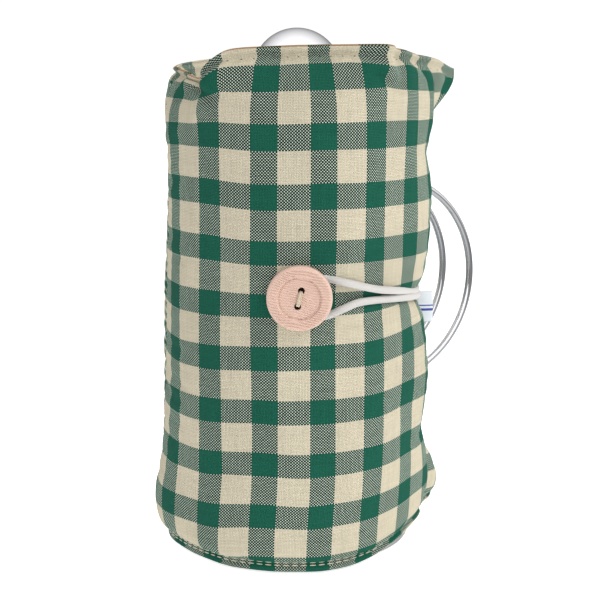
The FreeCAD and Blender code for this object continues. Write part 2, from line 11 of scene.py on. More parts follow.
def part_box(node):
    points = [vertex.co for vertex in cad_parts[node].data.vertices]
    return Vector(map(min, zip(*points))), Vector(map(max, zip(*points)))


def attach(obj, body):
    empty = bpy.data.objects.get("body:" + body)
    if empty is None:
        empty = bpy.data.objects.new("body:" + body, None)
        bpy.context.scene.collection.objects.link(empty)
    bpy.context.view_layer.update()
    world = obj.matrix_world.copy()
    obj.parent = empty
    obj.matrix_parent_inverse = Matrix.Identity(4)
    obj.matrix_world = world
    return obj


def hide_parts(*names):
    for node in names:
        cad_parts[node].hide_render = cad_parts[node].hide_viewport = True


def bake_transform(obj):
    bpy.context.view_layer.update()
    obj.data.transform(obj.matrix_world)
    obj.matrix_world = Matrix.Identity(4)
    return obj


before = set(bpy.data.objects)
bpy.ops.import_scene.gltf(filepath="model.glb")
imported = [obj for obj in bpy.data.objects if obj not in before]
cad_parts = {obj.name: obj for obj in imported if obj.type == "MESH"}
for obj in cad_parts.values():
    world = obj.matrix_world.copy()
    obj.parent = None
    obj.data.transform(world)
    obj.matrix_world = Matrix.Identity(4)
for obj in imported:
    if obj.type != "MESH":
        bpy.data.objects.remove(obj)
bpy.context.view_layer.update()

MM = 0.001

# ------------------------------------------------------------------ places
# Angles are in degrees round +Z from +X, where the handle is.

COSY_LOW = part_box("front_cover")[0].z
COSY_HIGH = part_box("front_cover")[1].z
COSY_RADIUS = -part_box("front_cover")[0].y
COSY_HEIGHT = COSY_HIGH - COSY_LOW
FLASK_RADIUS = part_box("outer_shell")[1].x
KNOB_LOW, KNOB_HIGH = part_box("knob_ball")
FLAP_EDGE = 17.5        # the flaps end this far each side of the handle
JOIN = 152.0            # the two sewn halves meet here
SEAM_LAP = 0.8          # and lap over each other by this angle
VIEW = -120.0           # the button faces this way, and so does the camera
BUTTON_ANGLE = -119.1
BUTTON_HEIGHT = 113.0 * MM

# ------------------------------------------------------------------- cloth

HEM_WALL = 2.2 * MM
PAD_WALL = 5.3 * MM
EDGE_ROUND = 1.1 * MM
HEM_BAND = 4.6 * MM
PAD_START = 10.0 * MM
HEM_REACH = 45.0 * MM       # how far a hem's height still moves the cloth
HEM_ALLOWANCE = 11.0 * MM   # gingham turned in over the lining
RIM_EDGE = 1.0 * MM
GRID_STEP = 2.2 * MM
SOLVER_SCALE = 20.0         # the cloth solver works on a copy of this size
MOST_SWELL = 2.4 * MM
CHECK_ACROSS = 22.85 * MM
CHECK_UP = 21.2 * MM
YARNS_ACROSS = 38
YARNS_UP = 38
GREEN_YARNS_ACROSS = 17
GREEN_YARNS_UP = 17
CHECK_CENTRE_ANGLE = VIEW - 17.1
CHECK_CENTRE_HEIGHT = 193.6 * MM
CHECK_SLOPE = 0.0123

# How the check drifts over the padding, read by angle from the view or by height in mm
DRIFT_ACROSS = ((-5.0, 0.0), (10.0, 0.7), (33.0, 2.5), (54.0, 7.4), (75.0, 10.0))
DRIFT_UP = (
    (0.0, -3.6), (24.0, -2.6), (45.0, -1.6), (66.0, -1.2), (98.0, -1.1), (118.0, 0.4), (130.0, 1.5),
    (151.0, 1.9), (173.0, 0.8), (200.0, 0.3),
)

# Soft swellings and dips of the padded cloth:
# (angle, height mm, half width in degrees, half height mm, millimetres out)
LUMPS = (
    (152.0, 20.0, 40.0, 14.0, 2.6),     # the skirt spreads on the far left
    (152.0, 30.0, 50.0, 40.0, 3.2),
    (156.0, 0.0, 62.0, 6.0, -1.2),      # and its hem draws in
    (-68.0, 5.0, 13.0, 12.0, -1.0),     # the hem turns in on the right
    (152.0, 72.0, 42.0, 50.0, 1.2),
    (150.0, 183.0, 34.0, 9.0, 1.4),
    (-32.0, 165.0, 20.0, 10.0, -1.8),
    (-34.0, 140.0, 26.0, 20.0, 1.9),    # swelling above the elastic
    (-30.0, 106.0, 34.0, 7.0, -4.6),    # waist under the elastic
    (-33.0, 74.0, 28.0, 15.0, 2.0),     # swelling below the elastic
    (-28.0, 46.0, 22.0, 10.0, -1.8),
    (-19.0, 22.0, 15.0, 14.0, 8.0),     # bottom corner of the front flap
    (-172.0, 102.0, 30.0, 30.0, 0.9),
    (-166.0, 200.0, 5.0, 16.0, -7.5),   # pucker in the rim
    (-176.0, 192.0, 7.0, 9.0, 1.6),
    (-154.0, 190.0, 6.0, 9.0, 1.2),
    (-78.0, 199.0, 4.0, 10.0, -1.2),
    (-160.0, 4.0, 44.0, 8.0, 0.8),      # the front hem flares a little
    (120.0, 60.0, 18.0, 26.0, 1.4),
    (84.0, 120.0, 20.0, 24.0, 1.3),
    (60.0, 40.0, 16.0, 22.0, 1.6),
    (100.0, 176.0, 14.0, 12.0, 1.0),
    (21.0, 190.0, 10.0, 14.0, 4.0),     # top corner of the back flap
    (21.0, 16.0, 10.0, 12.0, 3.0),
)

# Folds in the cloth: (angle, height mm, angle, height mm, half width mm, millimetres out)
CREASES = (
    (152.0, 208.0, 152.0, 0.0, 2.2, -1.3),      # the sewn seam
    (-166.0, 191.0, -182.0, 183.0, 2.4, -2.4),
    (-166.0, 190.0, -155.0, 183.0, 2.2, -1.3),
    (-175.0, 200.0, -186.0, 190.0, 2.2, -1.8),
    (-160.0, 178.0, -178.0, 172.0, 3.5, 0.7),
    (-73.5, 207.0, -74.5, 190.0, 2.4, -2.6),
    (-81.0, 207.0, -80.0, 188.0, 2.2, 1.0),
    (-52.0, 203.0, -50.0, 190.0, 2.4, -1.2),
    (-37.0, 192.0, -33.0, 168.0, 3.6, -3.2),
    (-48.0, 190.0, -46.0, 176.0, 4.5, 1.2),
    (-36.0, 46.0, -38.0, 8.0, 3.2, -3.6),
    (-68.0, 0.0, -84.0, 0.0, 6.0, -1.3),
    (-105.0, 112.5, -62.0, 108.0, 2.4, -1.5),
    (-106.0, 127.0, -88.0, 123.5, 2.2, -0.9),
    (-104.0, 101.0, -84.0, 103.0, 2.4, -0.8),
    (-70.0, 116.0, -46.0, 122.0, 3.0, -0.8),
    (-66.0, 98.0, -44.0, 92.0, 3.0, -0.9),
    (-84.0, 70.0, -60.0, 62.0, 5.0, -0.5),
    (-140.0, 60.0, -150.0, 40.0, 5.0, -0.5),
    (178.0, 150.0, 172.0, 130.0, 4.0, -0.6),
    (176.0, 96.0, 168.0, 84.0, 4.0, -0.6),
    (100.0, 150.0, 120.0, 140.0, 5.0, -0.8),
    (70.0, 70.0, 96.0, 84.0, 5.0, -0.8),
    (50.0, 170.0, 66.0, 150.0, 4.5, -0.8),
)

# Height of each hem round the cosy: (angle from the view, millimetres)
TOP_HEM = (
    (-180.0, 203.0), (-120.0, 199.4), (-90.0, 197.2), (-66.0, 196.0), (-54.0, 195.2), (-46.0, 192.3),
    (-41.0, 196.0), (-36.5, 201.0), (-31.5, 205.0), (-24.0, 205.8), (0.0, 206.6), (38.0, 207.0),
    (46.0, 205.5), (60.0, 203.5), (80.0, 201.7), (90.0, 200.3), (102.5, 196.2), (137.5, 203.5),
    (160.0, 205.0), (180.0, 203.0),
)
LOW_HEM = (
    (10.0, 1.0), (23.0, 1.3), (36.0, 3.0), (48.0, 6.4), (60.0, 9.0), (80.0, 12.0), (103.0, 15.0),
    (103.1, 2.0), (150.0, 1.0),
)


def smooth(low, high, value):
    """0 below low, 1 above high, and a smooth ramp between."""
    part = np.clip((value - low) / (high - low), 0.0, 1.0)
    return part * part * (3.0 - 2.0 * part)


def soft_least(first, second, width):
    """The lesser of two values, with a rounded corner where they cross."""
    part = np.clip(0.5 + 0.5 * (second - first) / width, 0.0, 1.0)
    return second * (1.0 - part) + first * part - width * part * (1.0 - part)


def view_angle(angle):
    """An angle measured from the viewing direction, from -180 to 180."""
    return (angle - VIEW + 180.0) % 360.0 - 180.0


def chord(angle, distance, facing):
    """Radius of a straight side at a distance, whose middle faces an angle."""
    slope = np.cos(np.radians(np.clip(angle - facing, -70.0, 70.0)))
    return distance / slope


def rim_radius(angle):
    """Radius of the rim: a flat front, a sharp right corner and a flared flap."""
    seen = view_angle(angle)
    front = chord(seen, 45.5 * MM, 0.0)
    right = chord(seen, 52.8 * MM, 63.0)
    left = chord(seen, 48.2 * MM, -76.0)
    right_side = soft_least(front, right, 2.5 * MM)
    left_side = soft_least(front, left, 4.0 * MM)
    shape = np.where(seen > 0.0, right_side, left_side)
    back = 51.5 * MM
    elsewhere = np.maximum(smooth(-75.0, -100.0, seen), smooth(104.0, 125.0, seen))
    return shape * (1.0 - elsewhere) + back * elsewhere


def rounded_table(table, seen, reach):
    """A table of (angle, millimetres) read with its corners rounded, in metres."""
    points = np.array(table)
    total = 0.0
    for shift in (-1.0, -0.5, 0.0, 0.5, 1.0):
        total = total + np.interp(seen + shift * reach, points[:, 0], points[:, 1])
    return total / 5.0 * MM


def hem_heights(angle):
    """Heights of the bottom and top hems at an angle."""
    seen = view_angle(angle)
    low = np.interp(seen, [row[0] for row in LOW_HEM], [row[1] for row in LOW_HEM]) * MM
    return low, rounded_table(TOP_HEM, seen, 2.2)


def cloth_radius(angle, height):
    """Radius of the cosy's outer face at an angle and a height."""
    radius = np.full(np.broadcast(angle, height).shape, COSY_RADIUS)
    _, top = hem_heights(angle)
    at_rim = smooth(-27.0 * MM, -3.0 * MM, height - top)
    radius = radius * (1.0 - at_rim) + rim_radius(angle) * at_rim
    for centre, level, wide, tall, out in LUMPS:
        across = ((angle - centre + 180.0) % 360.0 - 180.0) / wide
        up = (height - level * MM) / (tall * MM)
        radius = radius + out * MM * np.exp(-across ** 2 - up ** 2)
    for angle_1, height_1, angle_2, height_2, wide, out in CREASES:
        across = np.radians((angle - angle_1 + 180.0) % 360.0 - 180.0) * COSY_RADIUS
        up = height - height_1 * MM
        run = math.radians(angle_2 - angle_1) * COSY_RADIUS
        rise = (height_2 - height_1) * MM
        part = np.clip((across * run + up * rise) / (run * run + rise * rise), 0.0, 1.0)
        away = (across - part * run) ** 2 + (up - part * rise) ** 2
        radius = radius + out * MM * np.exp(-away / (wide * MM) ** 2)
    turn = np.radians(angle)
    ripple = np.sin(turn * 9.0 + height * 34.0) * 0.30 + np.sin(turn * 5.0 - height * 61.0 + 1.0) * 0.35
    ripple = ripple + np.sin(turn * 17.0 + height * 83.0 + 2.0) * 0.16
    return radius + ripple * MM


def polar(angle, radius, height):
    """A point from its angle in degrees, radius and height."""
    turn = math.radians(angle)
    return Vector((radius * math.cos(turn), radius * math.sin(turn), height))


def spaced(length, step, fine_ends):
    """Distances from 0 to length, a step apart, with close rows at the chosen ends."""
    fine = [0.0, 0.25 * MM, 0.7 * MM, 1.4 * MM, 2.6 * MM, 4.2 * MM]
    low = fine if fine_ends[0] else [0.0]
    high = [length - value for value in reversed(fine)] if fine_ends[1] else [length]
    count = max(2, round((high[0] - low[-1]) / step))
    middle = np.linspace(low[-1], high[0], count + 1)[1:-1]
    return np.array(low + list(middle) + high)


def hem_shape(from_edge, along):
    """How far the outer face rises or sinks near an edge: a rolled edge, then a drawn-in stitch line."""
    drawn = 0.5 + 0.5 * np.cos(2.0 * math.pi * along / (4.8 * MM))
    line = np.exp(-((from_edge - HEM_BAND) / (1.3 * MM)) ** 2) * (0.85 + 0.65 * drawn)
    roll = np.exp(-((from_edge - 1.5 * MM) / (1.2 * MM)) ** 2) * 0.8
    return (roll - line) * MM


def lay_check(mesh, angle, level):
    """Cloth coordinates in metres, across and up, for the outer and the inner face."""
    seen = view_angle(angle)
    at_skirt = smooth(45.0 * MM, 10.0 * MM, level) * (seen > -60.0)
    drift = rounded_table(DRIFT_ACROSS, seen, 6.0) / MM
    drift = drift + (1.6 + 1.8 * smooth(20.0, 50.0, seen)) * at_skirt
    across = np.radians(angle + drift - CHECK_CENTRE_ANGLE) * COSY_RADIUS
    up = level - CHECK_CENTRE_HEIGHT - np.radians(seen) * COSY_RADIUS * CHECK_SLOPE
    up = up + rounded_table(DRIFT_UP, level / MM, 6.0) * smooth(-42.0, -12.0, seen)
    up = up - 1.7 * MM * smooth(30.0, 56.0, seen) * smooth(125.0 * MM, 95.0 * MM, level)
    place = np.stack([np.tile(across.ravel(), 2), np.tile(up.ravel(), 2)], axis=-1).astype(np.float32)
    corners = np.zeros(len(mesh.loops), dtype=np.int64)
    mesh.loops.foreach_get("vertex_index", corners)
    mesh.uv_layers.new(name="cloth").data.foreach_set("uv", place[corners].ravel())


def cosy_section(name, start, end):
    """One padded half of the cosy as a closed mesh, from a start to an end angle.

    The flap's free edge is at the end. Faces 0 are gingham, 1 lining and 2 the rim's top edge, which gets a
    darkened copy of the gingham as painted shade.
    Returns the object, and which of its vertices the cloth solver may move.
    """
    length = math.radians(abs(end - start)) * COSY_RADIUS
    across = spaced(length, GRID_STEP, (False, True))
    upward = spaced(COSY_HEIGHT, GRID_STEP, (True, True))
    angles = start + (end - start) * across / length
    grid_across, grid_up = np.meshgrid(across, upward, indexing="ij")
    angle = np.meshgrid(angles, upward, indexing="ij")[0]
    from_top = COSY_HEIGHT - grid_up
    low, high = hem_heights(angle)
    height = COSY_LOW + grid_up
    height = height + (low - COSY_LOW) * np.clip(1.0 - grid_up / HEM_REACH, 0.0, 1.0) ** 2
    height = height + (high - COSY_HIGH) * np.clip(1.0 - from_top / HEM_REACH, 0.0, 1.0) ** 2

    from_hem = np.minimum(grid_up, from_top)
    from_side = length - grid_across
    from_edge = np.minimum(from_hem, from_side)
    rounding = np.sqrt(np.clip(1.0 - (1.0 - np.clip(from_edge / EDGE_ROUND, 0.0, 1.0)) ** 2, 0.0, 1.0))
    padding = smooth(HEM_BAND, PAD_START, from_edge)
    wall = HEM_WALL + (PAD_WALL - HEM_WALL) * padding
    along = np.where(from_hem < from_side, grid_across, grid_up)
    face = cloth_radius(angle, height) - 1.1 * MM * (1.0 - padding) + hem_shape(from_edge, along)
    outer = face - EDGE_ROUND * (1.0 - rounding)
    inner = face - EDGE_ROUND - (wall - EDGE_ROUND) * rounding
    on_flask = (height < 180.0 * MM) & (from_edge > EDGE_ROUND)
    inner = np.where(on_flask, np.maximum(inner, FLASK_RADIUS + 0.7 * MM), inner)

    columns, rows = grid_up.shape
    count = columns * rows
    turn = np.radians(angle)
    points = np.concatenate([
        np.stack([radius * np.cos(turn), radius * np.sin(turn), height], axis=-1).reshape(-1, 3)
        for radius in (outer, inner)])
    outer_number = np.arange(count).reshape(columns, rows)
    inner_number = np.where(from_edge < 1e-9, outer_number, outer_number + count)

    way = -1 if end < start else 1
    faces = []
    kinds = []
    for i in range(columns - 1):
        for j in range(rows - 1):
            quad = [(i, j), (i + 1, j), (i + 1, j + 1), (i, j + 1)]
            faces.append([int(outer_number[corner]) for corner in quad][::way])
            faces.append([int(inner_number[corner]) for corner in quad][::-way])
            kinds.append(2 * int(from_top[i, j] < RIM_EDGE))
            kinds.append(int(from_edge[i, j] > HEM_ALLOWANCE))
    first_cap = len(faces)
    for j in range(rows - 1):
        cap = [outer_number[0, j], outer_number[0, j + 1], inner_number[0, j + 1], inner_number[0, j]]
        faces.append(list(dict.fromkeys(int(number) for number in cap))[::way])
        kinds.append(0)

    mesh = bpy.data.meshes.new(name)
    mesh.from_pydata(points.tolist(), [], faces)
    mesh.polygons.foreach_set("material_index", kinds)
    mesh.polygons.foreach_set("use_smooth", [True] * len(faces))
    lay_check(mesh, angle, COSY_LOW + grid_up)
    free = np.zeros(2 * count, dtype=bool)
    free[rows:count] = padding.ravel()[rows:] > 0.15
    used = np.zeros(2 * count, dtype=bool)
    used[list({number for face in faces for number in face})] = True

    # Drop the inner points that the outer edge stands in for, and keep the cut end crisp.
    builder = bmesh.new()
    builder.from_mesh(mesh)
    spare = [vertex for vertex in builder.verts if not vertex.link_faces]
    bmesh.ops.delete(builder, geom=spare, context="VERTS")
    for edge in builder.edges:
        edge.smooth = all(face.index < first_cap for face in edge.link_faces)
    builder.to_mesh(mesh)
    builder.free()
    piece = bpy.data.objects.new(name, mesh)
    bpy.context.scene.collection.objects.link(piece)
    return piece, free[used]


def swell(piece, free, pressure, frames):
    """Swell the padded faces with the cloth solver, then keep the resulting mesh."""
    before = np.array([vertex.co for vertex in piece.data.vertices])
    copy = piece.copy()
    copy.data = piece.data.copy()
    copy.data.transform(Matrix.Scale(SOLVER_SCALE, 4))
    bpy.context.scene.collection.objects.link(copy)
    group = copy.vertex_groups.new(name="held")
    group.add([int(number) for number in np.nonzero(~free)[0]], 1.0, "REPLACE")
    cloth = copy.modifiers.new("Cloth", "CLOTH")
    settings = cloth.settings
    settings.quality = 6
    settings.mass = 0.3
    settings.tension_stiffness = 12.0
    settings.compression_stiffness = 12.0
    settings.shear_stiffness = 4.0
    settings.bending_stiffness = 0.6
    settings.shrink_min = -0.035
    settings.use_pressure = True
    settings.uniform_pressure_force = pressure
    settings.vertex_group_mass = "held"
    settings.effector_weights.gravity = 0.0
    cloth.collision_settings.use_self_collision = False
    cloth.collision_settings.use_collision = False
    cloth.point_cache.frame_start = 1
    cloth.point_cache.frame_end = frames
    for number in range(1, frames + 1):
        bpy.context.scene.frame_set(number)
    solved = copy.evaluated_get(bpy.context.evaluated_depsgraph_get())
    moved = np.array([vertex.co for vertex in solved.data.vertices]) / SOLVER_SCALE - before
    bpy.data.objects.remove(copy)
    bpy.context.scene.frame_set(1)
    size = np.maximum(np.linalg.norm(moved, axis=1), 1e-9)
    moved *= np.minimum(1.0, MOST_SWELL / size)[:, None]
    piece.data.vertices.foreach_set("co", (before + moved).astype(np.float32).ravel())
    piece.data.update()


def subdivide(piece):
    """Apply one level of subdivision surface."""
    modifier = piece.modifiers.new("subdivision", "SUBSURF")
    modifier.levels = 1
    modifier.render_levels = 1
    modifier.boundary_smooth = "PRESERVE_CORNERS"
    seen = piece.evaluated_get(bpy.context.evaluated_depsgraph_get())
    mesh = bpy.data.meshes.new_from_object(seen)
    piece.modifiers.clear()
    piece.data = mesh


class Surface:
    """Finds points on a finished cloth piece from outside."""

    def __init__(self, pieces):
        points = []
        faces = []
        for piece in pieces:
            first = len(points)
            points += [vertex.co.copy() for vertex in piece.data.vertices]
            faces += [[first + number for number in face.vertices] for face in piece.data.polygons]
        self.tree = BVHTree.FromPolygons(points, faces)

    def at(self, angle, height):
        """The point and outward normal at an angle and a height."""
        start = polar(angle, 120.0 * MM, height)
        inward = Vector((-start.x, -start.y, 0.0)).normalized()
        place, normal, _, _ = self.tree.ray_cast(start, inward)
        if place is None:
            return polar(angle, COSY_RADIUS, height), -inward
        if normal.dot(inward) > 0.0:
            normal = -normal
        return place, normal


# --------------------------------------------------------------- materials


class Nodes:
    """Adds shader nodes to a node tree."""

    def __init__(self, tree):
        self.tree = tree

    def set(self, node, name, value):
        """Set an input to a value, or link it to another node's socket."""
        if isinstance(value, bpy.types.NodeSocket):
            self.tree.links.new(value, node.inputs[name])
        else:
            node.inputs[name].default_value = value

    def node(self, kind, inputs, operation=None):
        """A new shader node with its inputs set."""
        node = self.tree.nodes.new("ShaderNode" + kind)
        if operation:
            node.operation = operation
        for name, value in inputs.items():
            self.set(node, name, value)
        return node

    def math(self, operation, first, second=0.0, third=0.0):
        return self.node("Math", {0: first, 1: second, 2: third}, operation).outputs[0]

    def ramp(self, value, low, high):
        """Map 0..1 to low..high."""
        return self.math("MULTIPLY_ADD", value, high - low, low)

    def fade(self, value, low, high, first, second):
        """Run from first to second as a value goes from low to high."""
        inputs = {"Value": value, "From Min": low, "From Max": high, "To Min": first, "To Max": second}
        return self.node("MapRange", inputs).outputs[0]


class Look(Nodes):
    """A procedural material, built node by node."""

    def __init__(self, name, colour=(0.8, 0.8, 0.8), roughness=0.5, metallic=0.0, sheen=0.0, gloss=0.5):
        self.material = bpy.data.materials.new(name)
        self.material.use_nodes = True
        self.material.diffuse_color = (*colour, 1.0)
        super().__init__(self.material.node_tree)
        self.shader = self.tree.nodes["Principled BSDF"]
        self.surface("Base Color", (*colour, 1.0))
        self.surface("Roughness", roughness)
        self.surface("Metallic", metallic)
        self.surface("Sheen Weight", sheen)
        self.surface("Specular IOR Level", gloss)

    def surface(self, name, value):
        """Set or link one of the surface shader's inputs."""
        self.set(self.shader, name, value)

    def mix(self, factor, first, second):
        """Mix two colours."""
        node = self.tree.nodes.new("ShaderNodeMix")
        node.data_type = "RGBA"
        for index, value in ((0, factor), (6, first), (7, second)):
            self.set(node, index, (*value, 1.0) if isinstance(value, tuple) else value)
        return node.outputs[2]

    def scaled(self, colour, factor):
        """A colour times a factor."""
        return self.node("VectorMath", {0: colour, "Scale": factor}, "SCALE").outputs[0]

    def stretched(self, vector, scale):
        """A vector or colour times a fixed value for each of its parts."""
        return self.node("VectorMath", {0: vector, 1: scale}, "MULTIPLY").outputs[0]

    def position(self, scale=(1.0, 1.0, 1.0)):
        """Object coordinates in metres, stretched by a scale."""
        return self.stretched(self.node("TexCoord", {}).outputs["Object"], scale)

    def parts(self, vector):
        """The x, y and z of a vector."""
        return self.node("SeparateXYZ", {0: vector}).outputs

    def layer(self, name):
        """The coordinates in a UV layer."""
        node = self.node("UVMap", {})
        node.uv_map = name
        return self.parts(node.outputs[0])

    def noise(self, vector, scale=1.0, detail=2.0, roughness=0.5):
        inputs = {"Vector": vector, "Scale": scale, "Detail": detail, "Roughness": roughness}
        return self.node("TexNoise", inputs).outputs[0]

    def slubs(self, along, number, fineness, spread):
        """Noise that runs along a yarn and changes from yarn to yarn."""
        x = self.math("MULTIPLY", along, fineness)
        y = self.math("MULTIPLY", number, spread)
        return self.noise(self.node("CombineXYZ", {"X": x, "Y": y}).outputs[0], 1.0, 3.0)

    def waves(self, value, pitch):
        """A sine wave along a value in metres."""
        return self.math("SINE", self.math("MULTIPLY", value, 2.0 * math.pi / pitch))

    def bump(self, height, distance, strength):
        inputs = {"Height": height, "Distance": distance, "Strength": strength}
        self.surface("Normal", self.node("Bump", inputs).outputs[0])


def weave_cells(look):
    """Each crossing's column and row, the place in it, which yarn is on top, and the place in yarns."""
    place = look.layer("cloth")
    across = look.math("MULTIPLY", place[0], YARNS_ACROSS / CHECK_ACROSS)
    upward = look.math("MULTIPLY", place[1], YARNS_UP / CHECK_UP)
    column = look.math("FLOOR", across)
    row = look.math("FLOOR", upward)
    in_column = look.math("SUBTRACT", across, column)
    in_row = look.math("SUBTRACT", upward, row)
    on_top = look.math("FLOORED_MODULO", look.math("ADD", column, row), 2.0)
    return column, row, in_column, in_row, on_top, across, upward


def weave_relief(look, in_column, in_row, on_top):
    """Height of a plain weave inside one crossing."""
    warp = look.math("SINE", look.math("MULTIPLY", in_column, math.pi))
    weft = look.math("SINE", look.math("MULTIPLY", in_row, math.pi))
    warp_over = look.math("MULTIPLY", look.math("POWER", warp, 1.3), look.ramp(weft, 0.72, 1.0))
    weft_over = look.math("MULTIPLY", look.math("POWER", weft, 1.3), look.ramp(warp, 0.72, 1.0))
    part = look.math("MULTIPLY", warp_over, on_top)
    other = look.math("MULTIPLY", weft_over, look.math("SUBTRACT", 1.0, on_top))
    return look.math("ADD", part, other)


def gingham_look(name, tint):
    """Green and cream yarn-dyed check in plain weave, times a tint, which on the rim's copy is painted shade.
    """
    look = Look(name, roughness=0.9, gloss=0.12)
    column, row, in_column, in_row, on_top, across, upward = weave_cells(look)

    def stripe(number, period, green):
        shifted = look.math("ADD", number, green / 2.0)
        return look.math("LESS_THAN", look.math("FLOORED_MODULO", shifted, float(period)), float(green))

    warp_green = stripe(column, YARNS_ACROSS, GREEN_YARNS_ACROSS)
    weft_green = stripe(row, YARNS_UP, GREEN_YARNS_UP)
    mixed = look.math("ABSOLUTE", look.math("SUBTRACT", warp_green, weft_green))

    def yarn(is_green, along, number):
        """Colour of one yarn, with slubs along it."""
        cream = look.mix(mixed, (0.548, 0.495, 0.373), (0.545, 0.665, 0.54))
        green = (0.008, 0.092, 0.058)
        slub = look.slubs(along, number, 0.045, 1.7)
        return look.scaled(look.mix(is_green, cream, green), look.ramp(slub, 0.66, 1.30))

    colour = look.mix(on_top, yarn(weft_green, across, row), yarn(warp_green, upward, column))
    relief = weave_relief(look, in_column, in_row, on_top)
    # Painted shade: the colour is darkened in the gaps between yarns, far more in the mixed squares.
    gaps = look.math("POWER", look.ramp(relief, 0.30, 1.08), look.ramp(mixed, 0.35, 3.0))
    fade = look.noise(look.position(), 22.0, 3.0)
    colour = look.scaled(look.scaled(colour, gaps), look.ramp(fade, 0.90, 1.10))

    # Painted shade and light: green yarns among cream ones are darkened nearly to black where the cloth faces
    # the viewer, and lightened where it is seen from the side.
    warp_on_top = look.math("MULTIPLY", warp_green, on_top)
    weft_on_top = look.math("MULTIPLY", weft_green, look.math("SUBTRACT", 1.0, on_top))
    sunk = look.math("MULTIPLY", mixed, look.math("ADD", warp_on_top, weft_on_top))
    facing = look.node("LayerWeight", {"Blend": 0.5}).outputs["Facing"]
    dark = look.math("MULTIPLY", sunk, look.ramp(look.math("POWER", facing, 1.4), 0.90, -0.9))
    colour = look.scaled(colour, look.ramp(dark, 1.0, 0.0))
    look.surface("Base Color", look.stretched(colour, tint))
    look.bump(relief, 0.16 * MM, 0.8)
    return look.material


def lining_look():
    """Plain cream cotton in plain weave."""
    look = Look("lining", roughness=0.9, sheen=0.2)
    _, row, in_column, in_row, on_top, across, _ = weave_cells(look)
    relief = weave_relief(look, in_column, in_row, on_top)
    slub = look.slubs(across, row, 0.05, 1.3)
    # Besides slubs, the tone is darker in the hollows of the weave: painted shade.
    tone = look.math("MULTIPLY", look.ramp(slub, 0.86, 1.12), look.ramp(relief, 0.75, 1.05))
    base = look.mix(look.noise(look.position(), 35.0, 2.0), (0.70, 0.64, 0.51), (0.78, 0.72, 0.60))
    look.surface("Base Color", look.scaled(base, tone))
    look.bump(relief, 0.12 * MM, 0.7)
    return look.material


def thread_look(name, colour):
    """Twisted sewing thread."""
    look = Look(name, colour, 0.7, sheen=0.3)
    x, y, z = look.parts(look.position())
    twist = look.waves(look.math("ADD", look.math("ADD", x, y), z), 0.45 * MM)
    fluff = look.noise(look.position(), 3000.0, 2.0)
    look.surface("Base Color", look.mix(fluff, tuple(part * 0.7 for part in colour), colour))
    look.bump(look.math("ADD", twist, fluff), 0.06 * MM, 0.7)
    return look.material


def elastic_look():
    """Fabric-covered elastic: fine ribs along the cord, a slight grey-pink tone, and painted shade in the
    troughs between ribs.
    """
    look = Look("elastic", (0.80, 0.77, 0.75), 0.62, sheen=0.3)
    along, turns, _ = look.layer("cord")
    ribs = look.waves(turns, 1.0 / CORD_RIBS)
    knit = look.math("MULTIPLY", ribs, look.waves(along, 0.55 * MM))
    relief = look.math("ADD", look.math("MULTIPLY", ribs, 0.35), look.math("MULTIPLY", knit, 0.2))
    # Painted shade: the colour runs from dark in the rib troughs to light on the crests.
    tone = look.math("MULTIPLY_ADD", relief, 0.8, 0.5)
    look.surface("Base Color", look.mix(tone, (0.33, 0.315, 0.30), (0.64, 0.62, 0.59)))
    look.bump(relief, 0.08 * MM, 0.8)
    return look.material


def button_look():
    """Peach wood or resin, a little cloudy."""
    look = Look("button", (0.70, 0.42, 0.32), 0.5)
    cloud = look.noise(look.position(), 120.0, 3.0)
    fine = look.noise(look.position(), 900.0, 3.0)
    look.surface("Base Color", look.mix(cloud, (0.53, 0.355, 0.285), (0.59, 0.405, 0.33)))
    look.surface("Roughness", look.ramp(fine, 0.34, 0.52))
    look.bump(fine, 0.03 * MM, 0.6)
    return look.material


def metal_look(name, colour, roughness, grain, stretch, depth):
    """Metal with a grain stretched along or across, and faint wear."""
    look = Look(name, colour, roughness, 1.0)
    lines = look.noise(look.position(stretch), grain, 4.0, 0.6)
    smear = look.noise(look.position(), 60.0, 3.0)
    rough = look.ramp(lines, roughness * 0.7, roughness * 1.3)
    look.surface("Roughness", look.math("ADD", rough, look.ramp(smear, -0.02, 0.03)))
    look.surface("Base Color", look.mix(smear, tuple(part * 0.94 for part in colour), colour))
    look.bump(lines, depth, 0.5)
    return look.material


def mesh_look():
    """Woven steel wire, drawn as a fine grid of dark gaps: painted shade in place of open holes."""
    look = Look("steel_mesh", (0.6, 0.6, 0.61), 0.35, 1.0)
    x, y, _ = look.parts(look.position())
    rows = [look.ramp(look.waves(side, 0.8 * MM), 0.5, 1.0) for side in (x, y)]
    wires = look.math("MAXIMUM", *rows)
    look.surface("Base Color", look.mix(wires, (0.03, 0.03, 0.03), (0.72, 0.72, 0.73)))
    look.bump(wires, 0.15 * MM, 0.8)
    return look.material


def moulded_look(name, colour, roughness, scale, depth):
    """Moulded rubber or plastic with a fine texture."""
    look = Look(name, colour, roughness)
    grain = look.noise(look.position(), scale, 4.0)
    cloud = look.noise(look.position(), 45.0, 2.0)
    darker = tuple(part * 0.8 for part in colour)
    lighter = tuple(part * 1.2 for part in colour)
    look.surface("Base Color", look.mix(cloud, darker, lighter))
    look.surface("Roughness", look.ramp(grain, roughness - 0.08, roughness + 0.08))
    look.bump(grain, depth, 0.6)
    return look.material


def label_look():
    """White woven tape with plain blue bars."""
    white = (0.66, 0.69, 0.73)
    look = Look("label", white, 0.8)
    _, _, z = look.parts(look.position())
    height = look.math("MULTIPLY", look.math("SUBTRACT", z, LABEL_LOW), 1.0 / LABEL_HEIGHT)

    def bar(low, high):
        above = look.math("GREATER_THAN", height, low)
        return look.math("MULTIPLY", above, look.math("LESS_THAN", height, high))

    bars = look.math("ADD", bar(0.36, 0.44), bar(0.52, 0.56))
    look.surface("Base Color", look.mix(bars, white, (0.03, 0.05, 0.30)))
    look.bump(look.waves(z, 0.5 * MM), 0.05 * MM, 0.5)
    return look.material


